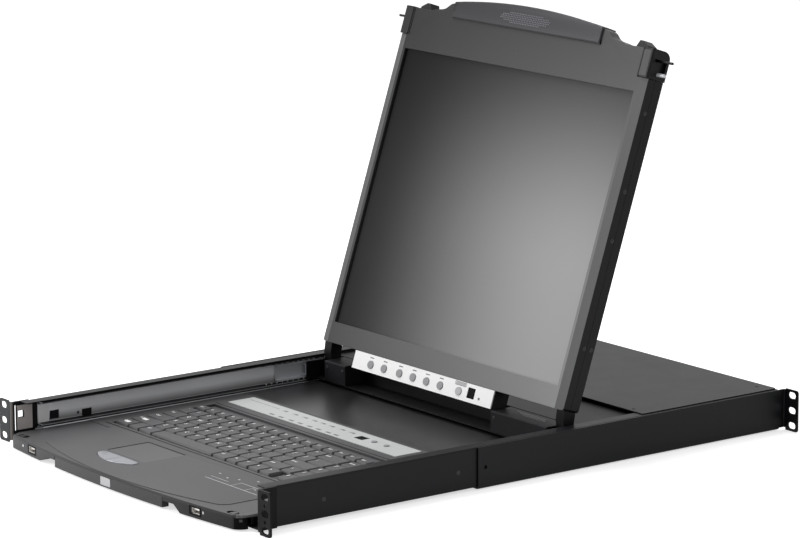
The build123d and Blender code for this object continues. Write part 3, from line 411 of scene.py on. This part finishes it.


# Drawer: a folded steel pan under a moulded ABS top with a palm rest, a pull bar on two arms, and a
# glossy plate over its rear half. The moulding has a fine spark-eroded texture, so it is matt grey.
# Painted shade darkens its top at the left end, its front and the pull bar to the right, and its sides
# are painted black as shade.
# Painted shade: the moulding's top darkens towards its left end.
abs_grey_and_shade = shaded(finish("spark_textured_abs_and_shade", "#3a3a3c", "#434345", 0.6, 0.5, bump_mm=0.03,
                         specular=0.4), x=(-0.215, -0.17, 0.35))
# Painted shade: the pull bar darkens to the right.
bar_grey_and_shade = shaded(finish("satin_moulded_abs_and_shade", "#363638", "#3e3e40", 0.6, 0.46, bump_mm=0.02,
                         specular=0.3), x=(0.2, -0.15, 0.3))
# Painted shade: the moulding's front, a copy of its grey, darkens to the right.
front_grey_and_shade = shaded(finish("spark_textured_front_and_shade", "#3a3a3c", "#434345", 0.6, 0.5, bump_mm=0.03,
                           specular=0.2), x=(0.2, -0.15, 0.1))
gloss_black = finish("gloss_black_lacquer", "#0d0d0f", "#131315", 0.6, 0.3, bump_mm=0.008,
                     specular=0.45)
# Painted shade: a near black for faces and gaps that lie in shade.
black_painted_shade = finish("painted_shade_black", "#050506", "#0a0a0b", 0.5, 0.5, specular=0.05)
tinned = finish("tinned_steel_shell", "#cfccc8", "#dad8d5", 0.7, 0.35, metallic=0.7)
drawer = eased_all(("drawer_pan", powder_coat_and_shade, 0.2), ("drawer_moulding", abs_grey_and_shade, 0.35),
                   ("drawer_rear_plate", gloss_black, 0.2), ("pull_bar", bar_grey_and_shade, 0.6),
                   ("usb_sockets", tinned, 0.08), ("drawer_catch_right", gloss_black, 0.2),
                   ("drawer_catch_left", gloss_black, 0.2))
toned(drawer["drawer_moulding"], front_grey_and_shade, lambda centre, normal: normal.y < -0.6 and centre.y < 0)
# Painted shade: the moulding's sides take the near black.
toned(drawer["drawer_moulding"], black_painted_shade,
      lambda centre, normal: abs(normal.x) > 0.35 and abs(centre.x) > 0.19 and abs(normal.z) < 0.5)

bar_plate = slab(-13.5, 4.0, -4.1, 4.1, 0, 0.5, 0.4)
bar_front = at(0, -25.32, -14.3) @ turn(90, "X")
brushed_plate = finish("brushed_grey_plate", "#a9a9ab", "#bcbcbe", 0.5, 0.4, metallic=0.2)
joined("bar_name_plate", [moved(bar_plate, bar_front)], brushed_plate, "drawer")


def front_curve(x):
    """Where the moulding's bowed front lies at a given x, both in millimetres."""
    return -12.5 - 13.0 * (1 - (x / 204.5) ** 2)


lamp_lens = finish("clear_lamp_lens", "#c9cbcc", "#dfe0e0", 1.0, 0.25, bump_mm=0.005)
lens = turned([(1.3, -0.3), (1.3, 0.2), (0.9, 0.5), (0.2, 0.62)], 16)
lenses = [moved(lens, at(x, front_curve(x) + 0.15, -13.0) @ turn(90, "X")) for x in (154.0, -172.0)]
joined("status_lamps", lenses, lamp_lens, "drawer")
# Painted shade: black frames round the two socket openings stand for the shade in their recesses.
rim_bars = ((-9.0, -6.75, -4.5, 4.5), (6.75, 9.0, -4.5, 4.5),
            (-6.75, 6.75, 3.1, 4.5), (-6.75, 6.75, -4.5, -3.1))
socket_shade_frames = [moved(slab(*bar, -0.1, 0.12),
              at(x, front_curve(x), -13.4) @ turn(slant, "Z") @ turn(90, "X"))
        for x, slant in ((142.0, 5.0), (-152.0, -5.4)) for bar in rim_bars]
joined("socket_painted_shade", socket_shade_frames, black_painted_shade, "drawer")


# Keyboard: a low notebook keyboard, moulded ABS caps with sloping sides and a shallow dish, each with
# a white legend printed near its left upper corner. The space bar is plain and slightly domed. Space
# and enter travel, so their feet stay clear of the base.
key_top = -5.4


def keycap(x, y, width, depth, dish, foot):
    """A cap as rings of a rounded rectangle, each with its inset, height and corner radius: up the
    slope, over a rounded rim and into the dish, which sinks with the distance from the rim."""
    levels = [(0, foot, 0.7), (0.1, foot + 0.5, 0.7), (0.75, key_top - 0.45, 1.0),
              (0.95, key_top - 0.12, 1.2), (1.3, key_top, 1.4), (2.8, key_top - 0.6 * dish, 1.8),
              (4.8, key_top - dish, 1.6)]
    least = 0.2
    quarter = np.linspace(0, pi / 2, 4)
    angle = np.concatenate([quarter + k * pi / 2 for k in range(4)])
    side_x = np.repeat([1, -1, -1, 1], 4)
    side_y = np.repeat([1, 1, -1, -1], 4)
    rings = []
    for inset, height, corner in levels:
        half_x = width / 2 - inset - corner
        half_y = max(depth / 2 - inset - corner, least)
        rounded = min(corner, max(depth / 2 - inset - least, least))
        rings.append(np.column_stack([x + side_x * half_x + rounded * np.cos(angle),
                                      y + side_y * half_y + rounded * np.sin(angle),
                                      np.full(16, height)]))
    return shell_of(np.array(rings) / 1000)


def node_of(width, word):
    """The node that a cap belongs to, by its width and its word."""
    return "space_key" if width > 100 else "enter_key" if word == "Enter" else "keycaps"


unit, gap, row_front, left_end, right_end, top_depth = 19.0, 1.6, 97.0, -179.0, 179.0, 12.0
rows = [([1.25, 1, 1.25, 5.75, 1.25, 1, 1, 1, 1], ["Ctrl", "", "Alt", "", "Alt", "Fn", "<", "v", ">"]),
        ([2.25] + [1] * 10 + [1.75, 1], ["Shift", *"ZXCVBNM,./", "Shift", "^"]),
        ([1.75] + [1] * 11 + [2.25], ["Caps", *"ASDFGHJKL;'", "Enter"]),
        ([1.5] + [1] * 12 + [1.5], ["Tab", *"QWERTYUIOP[]", "\\"]),
        ([1] * 13 + [2], [*"`1234567890-=", "Back"])]
caps = []
for number, (widths, words) in enumerate(rows):
    x, y = left_end, row_front + (number + 0.5) * unit
    for width, word in zip(widths, words):
        caps.append((x + width * unit / 2, y, width * unit - gap, unit - gap, word))
        x += width * unit
pad_left = left_end + 15 * unit + 1.5
pad_pitch = (right_end - pad_left) / 4
for row, words in enumerate(("0 . + =", "1 2 3 *", "4 5 6 /", "7 8 9 -", "Num Ins Del Pg")):
    caps += [(pad_left + (column + 0.5) * pad_pitch, row_front + (row + 0.5) * unit,
              pad_pitch - gap, unit - gap, word) for column, word in enumerate(words.split())]
top_words = ["Esc"] + [f"F{n}" for n in range(1, 13)] + ["Prt", "Scr", "Brk", "Home", "End", "Up"]
top_pitch = (right_end - left_end) / 19
caps += [(left_end + (n + 0.5) * top_pitch, row_front + 5 * unit + 9.5, top_pitch - gap, top_depth, word)
         for n, word in enumerate(top_words)]

key_plastic = finish("matt_key_abs", "#404042", "#48484a", 0.5, 0.5, bump_mm=0.02, specular=0.4)
key_shapes = {"keycaps": [], "space_key": [], "enter_key": []}
for x, y, width, depth, word in caps:
    node = node_of(width, word)
    dish = -0.25 if node == "space_key" else 0.35
    foot = -9.35 if node == "keycaps" else -7.75
    key_shapes[node].append(keycap(x, y, width, depth, dish, foot))
for node, shapes in key_shapes.items():
    made = joined(node + "_dished", shapes, key_plastic, body_of[node], 50.0)
    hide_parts(node)
eased("keyboard_base", key_plastic, 0.3)


# Legends: white pad print, flat and just above the caps' rims, so that it shows from geometry. The
# left Ctrl and Shift also carry a printed patch.
def lettering(word, height_mm):
    """The outlines of a word as flat triangles in the XY plane, from the built-in plain face."""
    capital_share = 0.7
    curve = bpy.data.curves.new("word", "FONT")
    curve.body = word
    curve.size = height_mm / 1000 / capital_share
    curve.align_x = "LEFT"
    curve.resolution_u = 1
    curve.offset = 0.00008
    holder = placed("word", curve)
    bpy.context.view_layer.update()
    mesh = holder.to_mesh()
    points = np.array([v.co for v in mesh.vertices]).reshape(-1, 3)
    faces = [np.array(p.vertices) for p in mesh.polygons]
    holder.to_mesh_clear()
    bpy.data.objects.remove(holder)
    bpy.data.curves.remove(curve)
    return points, np.zeros((0, 4), int), faces


white_print = finish("white_pad_print", "#ececec", "#f6f6f6", 0.8, 0.5, bump_mm=0.004)
sign_height, word_height, legend_z = 4.6, 3.0, -5.36
prints = {"keycaps": [], "enter_key": []}
for x, y, width, depth, word in caps:
    if word:
        tall = sign_height if len(word) == 1 else word_height
        place = at(x - width / 2 + 3.0, y + (0.2 if depth > top_depth else -1.2), legend_z)
        prints[node_of(width, word)].append(moved(lettering(word, tall), place))
prints["keycaps"] += [slab(x - 4, x + 4, y - 2.2, y + 2.2, -5.75, -5.3, 0.1)
                      for x, y in ((-168, 106.5), (-164, 125.5))]
for node, shapes in prints.items():
    joined(node + "_legends", shapes, white_print, body_of[node])


# Touchpad and its two crescent buttons: the pad is a smooth matt film, the buttons are ABS with silver
# paint, slightly domed. Thin black strips, painted shadow, stand for the grooves that part the palm rest
# from the pad and from the keyboard, and plain rules and dots stand for the block printed on its right.
pad_film = finish("matt_touch_film", "#39393b", "#414143", 0.4, 0.4, bump_mm=0.006, specular=0.45)
silver_paint = finish("silver_paint", "#88898f", "#96979d", 0.4, 0.34, bump_mm=0.004, metallic=0.35)
eased_all(("touchpad", pad_film, 0.1), ("touchpad_button_left", silver_paint, 0.3),
          ("touchpad_button_right", silver_paint, 0.3))
moulding_top = -7.0
# Painted shadow: black strips along the grooves.
groove_shades = [slab(*span, moulding_top - 0.2, moulding_top + 0.08)
           for span in ((-87.0, -86.0, 30.0, 78.9), (-86.0, -20.0, 78.0, 78.9),
                        (-184.6, 184.6, 89.6, 91.2), (-184.6, 184.6, 226.0, 227.2))]
joined("groove_painted_shadows", groove_shades, black_painted_shade, "drawer")


def printed(x0, x1, y0, y1, surface, proud, edge=0.0):
    """A printed mark: a slab from just inside a surface to a little above it."""
    return slab(x0, x1, y0, y1, surface - 0.05, surface + proud, edge)


rule_spans = [(62, 150, 46.0, 46.9), (104, 150, 60.0, 60.7), (104, 104.7, 46.9, 60.0),
              (127, 127.7, 46.9, 60.0), (62, 92, 53.0, 53.6)]
dot_spans = [(x - 1.6, x + 1.6, y - 0.8, y + 0.8)
             for x, y in ((60.6, 65), (79, 61), (92, 66), (110, 76), (133, 56))]
pale_print = finish("pale_grey_print", "#aeaeb1", "#bababd", 0.8, 0.5, bump_mm=0.004)
joined("palm_rest_marks", [printed(*span, moulding_top, 0.06) for span in rule_spans + dot_spans],
       pale_print, "drawer")


# Port strip: a pale printed film in a sunk bed, with a smoked number window, two soft buttons and two
# rows of small grey marks where each port's number and lamp are.
smoked = finish("smoked_acrylic", "#040403", "#070706", 0.8, 0.4, bump_mm=0.003, specular=0.03)
soft_grey = finish("soft_touch_grey", "#86868a", "#929295", 0.5, 0.5, bump_mm=0.01)
grey_print = finish("grey_print", "#5d5d60", "#6c6c6e", 0.8, 0.5, bump_mm=0.004)
strip_film = finish("matt_printed_film", "#b9bcbb", "#c1c3c2", 0.8, 0.5, bump_mm=0.01, specular=0.3)
eased_all(("port_strip", strip_film, 0.15), ("port_window", smoked, 0.1),
          ("port_button_up", soft_grey, 0.5), ("port_button_down", soft_grey, 0.5))
strip_top = -6.6
marks = []
for port, (upper_x, lower_x) in enumerate(
        ((-109, -105.9), (-90.6, -89.5), (-73.3, -71.2), (-56.6, -55.6), (-41.6, -38.8),
         (-26.3, -23.5), (-8.3, -6.5), (8.9, 7.0)), start=1):
    marks.append(moved(lettering(str(port), 3.4), at(upper_x - 3, 259.2, strip_top + 0.05)))
    marks.append(printed(upper_x + 0.5, upper_x + 5.5, 259.6, 262.4, strip_top, 0.12, 0.08))
    marks.append(printed(lower_x - 4, lower_x + 4, 241.4, 244.4, strip_top, 0.06, 0.05))
marks.append(printed(-172.0, -119.0, 261.6, 262.2, strip_top, 0.06))
joined("port_marks", marks, grey_print, "drawer")


# Carriage: a folded steel tray and a cover over the hinge bay, satin charcoal powder coat, with the
# two moulded blocks that hold the friction hinges screwed on in front. Three ribs run across the top of
# the right block, their light grey a painted highlight.
charcoal_coat = finish("charcoal_powder_coat", "#070708", "#0d0d0e", 0.5, 0.46, specular=0.12)
moulded_black = finish("moulded_black_nylon", "#111112", "#181819", 0.5, 0.4, bump_mm=0.02,
                       specular=0.3)
block_black = finish("moulded_black_block", "#17171a", "#1e1e20", 0.5, 0.5, bump_mm=0.02, specular=0.1)
arm_black = finish("black_zinc_die_casting", "#09090a", "#0f0f10", 0.5, 0.45, bump_mm=0.01,
                   specular=0.1)
eased_all(("carriage_frame", charcoal_coat, 0.2), ("carriage_cover", charcoal_coat, 0.3),
          ("hinge_cover_left", block_black, 0.5), ("hinge_cover_right", block_black, 0.5),
          ("hinge_arms", arm_black, 0.4))
block_heads = [moved(cross_head(2.2, 0.7), at(x, 368.95, 10.5) @ turn(90, "X"))
               for x in (-183, -156, 104, 182)]
joined("hinge_block_screws", block_heads, dark_steel_and_shade, "carriage")
block_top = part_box("hinge_cover_right")[1][2] * 1000
ribs = [slab(118.0 + 8 * n, 164.0 + 3 * n, y, y + 0.7, block_top - 0.1, block_top + 0.2)
        for n, y in enumerate((388.0, 385.0, 382.0))]
# Painted highlight: the ribs' light grey stands for the light their edges catch.
rib_highlight_paint = finish("painted_rib_highlight", "#7a7a7c", "#868688", 0.5, 0.5)
joined("hinge_block_ribs", ribs, rib_highlight_paint, "carriage")


# Display shells: the front frame is painted ABS, mid grey with a fine texture, and the back cover is
# black. Painted shade darkens the frame and the handle to the left and upwards, and the frame's sloping
# side strips take a darker copy of its grey as shade. The glass, the panel's matt polariser, carries a
# painted reflection: dark where the room is dark and hazy grey below, falling off to the left and
# upwards. Black strips on the face are painted shadows of its gaps. At rest the display leans back by
# 18.5 degrees.
tilted = at(0, 386, 14) @ turn(-18.5, "X")
frame_n = -16.8


def facing(x, t, n=frame_n):
    """A place on the display: t up its face from the hinge, n behind the axis, Z out of the face."""
    return tilted @ at(x, n, t) @ turn(90, "X")


# Painted shade: the frame and the handle darken upwards and to the left.
frame_shade_fall = (0.37, 0.05, 0.33)
frame_paint_and_shade = shaded(finish("textured_grey_paint_and_shade", "#888889", "#8f8f90", 0.6, 0.5, bump_mm=0.03,
                            specular=0.15), x=(-0.2, 0.2, 0.17), z=frame_shade_fall)
handle_paint_and_shade = shaded(finish("satin_grey_handle_and_shade", "#85858b", "#8c8c92", 0.6, 0.45, bump_mm=0.02,
                             specular=0.15), x=(-0.2, 0.2, 0.15), z=frame_shade_fall)
# Painted shade: a darker copy of the frame's grey for its sloping side strips, darker still to the left.
strip_painted_shade = shaded(finish("side_strip_painted_shade", "#626263", "#6a6a6b", 0.6, 0.5, bump_mm=0.03,
                           specular=0.15), x=(-0.2, 0.2, 0.7))
cap_black_and_shade = finish("moulded_black_cap_and_shade", "#060607", "#0c0c0d", 0.5, 0.42, bump_mm=0.02, specular=0.18)
cover_paint = finish("black_cover_paint", "#0b0b0c", "#121213", 0.5, 0.44, specular=0.15)
# Painted reflection: the polariser's grey is dark to the left and upwards.
polariser_painted_reflection = shaded(finish("matt_polariser_painted_reflection", "#a4a4a4", "#a6a6a6", 0.4, 0.5, bump_mm=0.002,
                          specular=0.06), x=(-0.19, 0.16, 0.04), z=(0.39, 0.155, 0.12),
                   curve="SMOOTHSTEP")
display = eased_all(("display_bezel", frame_paint_and_shade, 0.5), ("upper_handle", handle_paint_and_shade, 0.7),
                    ("display_back", cover_paint, 0.5), ("corner_caps", cap_black_and_shade, 0.5),
                    ("display_catch_right", cap_black_and_shade, 0.4), ("display_catch_left", cap_black_and_shade, 0.4),
                    ("lcd_panel", polariser_painted_reflection, 0.2))
toned(display["display_bezel"], cover_paint,
      lambda centre, normal: abs(normal.x) > 0.5 and abs(centre.x) > 0.2)
# Painted shade: the frame's sloping side facets take the darker strip grey.
toned(display["display_bezel"], strip_painted_shade,
      lambda centre, normal: 0.1 < abs(normal.x) < 0.5 and abs(centre.x) > 0.19)

inserts = [moved(on_side(side, 189.9, 200.4, 359.0, 385.2, -0.05, 0.12, 0.08), facing(0, 0, -17.6))
           for side in (-1, 1)]
joined("cap_inserts", inserts, frame_paint_and_shade, "display")
# Painted shadow: thin black strips where the frame's gaps lie in shade.
gap_painted_shadows = [moved(printed(*span, 0, high), facing(0, 0))
             for *span, high in ((-121.0, 121.9, 381.5, 382.9, 1.0), (120.9, 121.9, 381.5, 386.4, 1.0),
                                 (187.6, 188.9, 357.0, 386.4, 0.5), (-188.9, -187.6, 357.0, 386.4, 0.5))]
joined("gap_painted_shadows", gap_painted_shadows, cap_black_and_shade, "display")

# The grip is an ellipse of small raised dots in staggered rows on the handle.
grip_paint = finish("grip_dot_paint", "#737378", "#7b7b80", 0.6, 0.45, bump_mm=0.01, specular=0.2)
grip_mid, grip_half_high, grip_half_long, dot_pitch, row_pitch = 393.2, 6.4, 41, 2.6, 2.0
dot = turned([(0.85, -0.1), (0.7, 0.3), (0.2, 0.42)], 8)
grip = []
for row, t in enumerate(np.arange(388.0, 398.6, row_pitch)):
    reach = grip_half_long * np.sqrt(max(1 - ((t - grip_mid) / grip_half_high) ** 2, 0))
    for x in np.arange(-reach + (row % 2) * dot_pitch / 2, reach, dot_pitch):
        grip.append(moved(dot, facing(x, t, -19.4)))
joined("grip_dots", grip, grip_paint, "display")

stud = turned([(2.0, 0), (2.0, 9.5), (1.8, 10.9), (1.1, 11.8), (0.2, 12.1)], 20)
studs = [moved(stud, tilted @ at(side * 203.4, -5.0, 363.0) @ turn(90 * side, "Y")) for side in (-1, 1)]
joined("guide_studs", studs, zinc, "display")
side_heads = [moved(cross_head(2.3, 0.5), tilted @ at(side * 203.0, n, t) @ turn(90 * side, "Y"))
              for side in (-1, 1)
              for t, n in ((322.8, -8.0), (242.8, -8.0), (192.8, -8.0), (82.8, -8.0), (82.8, 1.0))]
joined("display_side_screws", side_heads, dark_steel_and_shade, "display")
pip = moved(turned([(1.2, -0.2), (1.1, 0.1), (0.3, 0.2)], 14), facing(-2.9, 359.5))
joined("frame_pip", [pip], moulded_black, "display")


# Control strip under the screen: a black moulded case with a pale printed fascia, oval soft buttons,
# a smoked number window, a short mark by each button, and a grey lamp in a printed ring.
pale_film = finish("pale_printed_film", "#f6f6f6", "#fcfcfb", 0.8, 0.45, bump_mm=0.01, specular=0.35)
pale_grey = finish("pale_soft_grey", "#acacae", "#b6b6b8", 0.5, 0.5, bump_mm=0.01)
eased_all(("osd_housing", moulded_black, 0.4), ("osd_fascia", pale_film, 0.2),
          ("osd_window", smoked, 0.1), *[(f"osd_button_{n}", soft_grey, 0.6) for n in range(1, 7)],
          ("display_power_button", pale_grey, 0.6))


def printed_line(outline, width, height):
    """A raised line along a closed outline of (x, y) points, made of the four corners of its section."""
    path = np.array(outline, float)
    ahead = np.roll(path, -1, 0) - np.roll(path, 1, 0)
    outward = np.stack([ahead[:, 1], -ahead[:, 0]], 1) / np.linalg.norm(ahead, axis=1)[:, None]
    corners = ((1, 0), (1, height), (-1, height), (-1, 0))
    rings = np.array([np.column_stack([path + outward * side * width / 2, np.full(len(path), z)])
                      for side, z in corners]) / 1000
    index = np.arange(4 * len(path)).reshape(4, -1)
    over = np.roll(index, -1, 0)
    quads = np.stack([index, np.roll(index, -1, 1), np.roll(over, -1, 1), over], -1).reshape(-1, 4)
    return rings.reshape(-1, 3), quads, []


def pill(length, width):
    """The outline of a bar with round ends, counter-clockwise."""
    angle = np.linspace(-pi / 2, pi / 2, 10)
    end = np.column_stack([np.cos(angle), np.sin(angle)]) * width / 2
    reach = (length - width) / 2
    return np.concatenate([end + (reach, 0), -end - (reach, 0)])


lamp_x, lamp_t, mark_t = 42.4, 15.4, 14.9
fascia_marks = [moved(printed_line(pill(19, 3.6), 0.5, 0.1), facing(lamp_x, lamp_t, -16.75))]
fascia_marks += [moved(printed(-3.2, 3.2, -0.55, 0.55, 0, 0.08, 0.04), facing(x, mark_t))
                 for x in (-109.5, -86.2, -59.3, -36.0, -13.0, 10.3)]
fascia_marks.append(moved(printed(-1.3, 1.3, -1.1, 1.1, 0, 0.1), facing(75.4, 5.6)))
joined("fascia_print", fascia_marks, grey_print, "display")
lamp_grey = finish("grey_lamp_pill", "#a6a6a8", "#b0b0b2", 0.5, 0.5, bump_mm=0.01)
joined("lamp_pill", [moved(printed(-8.2, 8.2, -1.5, 1.5, 0, 0.07), facing(lamp_x, lamp_t))],
       lamp_grey, "display")


# Inside the rear bay: boards of glass-reinforced epoxy, the aluminium supply case, tinned connector
# shells, and the inlet and rocker of black nylon. They show through the gaps and from behind.
solder_mask = finish("green_solder_mask", "#14452b", "#1c5535", 0.6, 0.35, bump_mm=0.01)
plain_aluminium = finish("plain_aluminium_sheet", "#a9abae", "#bcbdc0", 0.7, 0.36, metallic=0.9)
eased_all(("control_board", solder_mask, 0.1), ("drawer_board", solder_mask, 0.1),
          ("power_supply", plain_aluminium, 0.2), ("port_connectors", tinned, 0.2),
          ("power_inlet", moulded_black, 0.3), ("power_rocker", moulded_black, 0.3))
